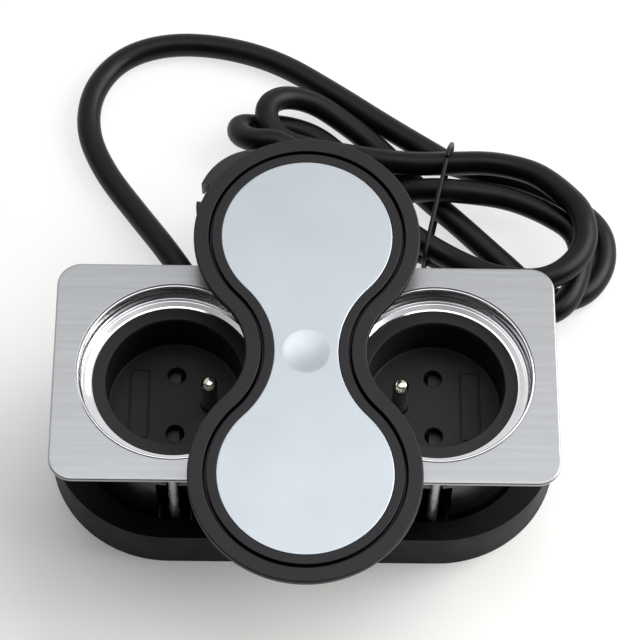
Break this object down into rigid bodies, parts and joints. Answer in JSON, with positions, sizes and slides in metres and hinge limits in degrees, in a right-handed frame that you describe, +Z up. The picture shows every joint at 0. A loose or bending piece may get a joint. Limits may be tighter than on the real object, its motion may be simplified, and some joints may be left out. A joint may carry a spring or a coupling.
{
  "type": "flush-mounted socket block",
  "caption": "Flush-mounted worktop socket block with a steel plate, a peanut-shaped cover that lifts and turns, a clamp frame below and a bundled mains cable with its plug.",
  "frame": {"origin": "middle of the block, on the surface it lies on", "axes": "+X along the plate to the right, +Y to the back, +Z up out of the worktop"},
  "size_m": [0.1753, 0.2206, 0.067],
  "materials": {
    "plate_steel": "stainless steel, brushed along its length",
    "gasket_rubber": "soft black rubber, matte",
    "collar_chrome": "polished chrome",
    "insert_black": "black moulded plastic, fine satin",
    "pin_nickel": "nickel-plated brass",
    "housing_grey": "dark grey moulded plastic",
    "frame_grey": "dark grey-brown moulded plastic, matte",
    "screw_zinc": "zinc-plated steel",
    "shutter_black": "black plastic, smooth",
    "spring_steel": "bright spring wire",
    "contact_brass": "stamped brass",
    "live_brown": "brown wire insulation",
    "neutral_blue": "blue wire insulation",
    "earth_green": "green and yellow wire insulation",
    "cord_black": "black cable jacket, satin",
    "tie_black": "black coated wire",
    "plug_black": "black moulded plastic",
    "cover_charcoal": "charcoal satin plastic",
    "carrier_black": "black satin plastic",
    "insert_aluminium": "satin anodised, cool silver",
    "pivot_steel": "turned stainless steel"
  },
  "bodies": {
    "housing": {"top_plate": "plate_steel", "plate_gasket": "gasket_rubber", "collar_left": "collar_chrome", "collar_right": "collar_chrome", "socket_insert_left": "insert_black", "socket_insert_right": "insert_black", "recess_floor_left": "insert_black", "recess_floor_right": "insert_black", "earth_pins": "pin_nickel", "housing_upper": "housing_grey", "housing_base": "housing_grey", "cord_relief": "plug_black", "cord_inner_end": "cord_black", "cord_clamp_bar": "housing_grey", "cord_clamp_screws": "screw_zinc", "carrier_screws": "screw_zinc", "housing_screws": "screw_zinc", "contact_carrier": "housing_grey", "live_busbar": "contact_brass", "neutral_busbar": "contact_brass", "earth_bar": "contact_brass", "terminals": "contact_brass", "terminal_screws": "contact_brass", "live_wire": "live_brown", "neutral_wire": "neutral_blue", "earth_wire": "earth_green", "shutter_spring_left": "spring_steel", "shutter_spring_right": "spring_steel", "cord_lead": "cord_black", "cord_hank": "cord_black", "cord_tail": "cord_black", "twist_tie": "tie_black", "plug_body": "plug_black", "plug_pins": "pin_nickel", "plug_earth_clips": "pin_nickel", "plug_relief": "plug_black"},
    "pivot_sleeve": {"pivot_sleeve": "pivot_steel", "sleeve_wiper": "gasket_rubber"},
    "cover": {"cover_shell": "cover_charcoal", "cover_carrier": "carrier_black", "cover_insert": "insert_aluminium", "cover_seal": "gasket_rubber", "pivot_post": "pivot_steel", "post_screws": "screw_zinc", "post_clip": "screw_zinc"},
    "clamp_frame": {"clamp_frame": "frame_grey", "clamp_nuts": "screw_zinc"},
    "shutter_left": {"shutter_left": "shutter_black"},
    "shutter_right": {"shutter_right": "shutter_black"},
    "clamp_screw_1": {"clamp_screw_1": "screw_zinc"},
    "clamp_screw_2": {"clamp_screw_2": "screw_zinc"},
    "clamp_screw_3": {"clamp_screw_3": "screw_zinc"},
    "clamp_screw_4": {"clamp_screw_4": "screw_zinc"}
  },
  "joints": [
    {"name": "cover_turn", "type": "hinge", "parent": "housing", "child": "pivot_sleeve", "pos_m": [0, 0, 0.052], "axis": [0, 0, 1], "range_deg": [-90, 90]},
    {"name": "cover_lift", "type": "slide", "parent": "pivot_sleeve", "child": "cover", "axis": [0, 0, 1], "range_m": [-0.0086, 0]},
    {"name": "frame_lift", "type": "slide", "parent": "housing", "child": "clamp_frame", "axis": [0, 0, 1], "range_m": [0, 0.025]},
    {"name": "clamp_screw_1_turn", "type": "hinge", "parent": "housing", "child": "clamp_screw_1", "pos_m": [-0.038, -0.0282, 0.03], "axis": [0, 0, -1], "range_deg": [0, 18000]},
    {"name": "clamp_screw_2_turn", "type": "hinge", "parent": "housing", "child": "clamp_screw_2", "pos_m": [0.038, -0.0282, 0.03], "axis": [0, 0, -1], "range_deg": [0, 18000]},
    {"name": "clamp_screw_3_turn", "type": "hinge", "parent": "housing", "child": "clamp_screw_3", "pos_m": [0.038, 0.0282, 0.03], "axis": [0, 0, -1], "range_deg": [0, 18000]},
    {"name": "clamp_screw_4_turn", "type": "hinge", "parent": "housing", "child": "clamp_screw_4", "pos_m": [-0.038, 0.0282, 0.03], "axis": [0, 0, -1], "range_deg": [0, 18000]},
    {"name": "shutter_left_slide", "type": "slide", "parent": "housing", "child": "shutter_left", "axis": [-1, 0, 0], "range_m": [0, 0.0065], "stiffness_N_per_m": 60, "springref_m": -0.002, "deforming": ["shutter_spring_left"]},
    {"name": "shutter_right_slide", "type": "slide", "parent": "housing", "child": "shutter_right", "axis": [1, 0, 0], "range_m": [0, 0.0065], "stiffness_N_per_m": 60, "springref_m": -0.002, "deforming": ["shutter_spring_right"]}
  ],
  "couplings": [
    {"joint": "clamp_screw_1_turn", "follows": "frame_lift", "rad_per_m": 12566},
    {"joint": "clamp_screw_2_turn", "follows": "frame_lift", "rad_per_m": 12566},
    {"joint": "clamp_screw_3_turn", "follows": "frame_lift", "rad_per_m": 12566},
    {"joint": "clamp_screw_4_turn", "follows": "frame_lift", "rad_per_m": 12566}
  ]
}
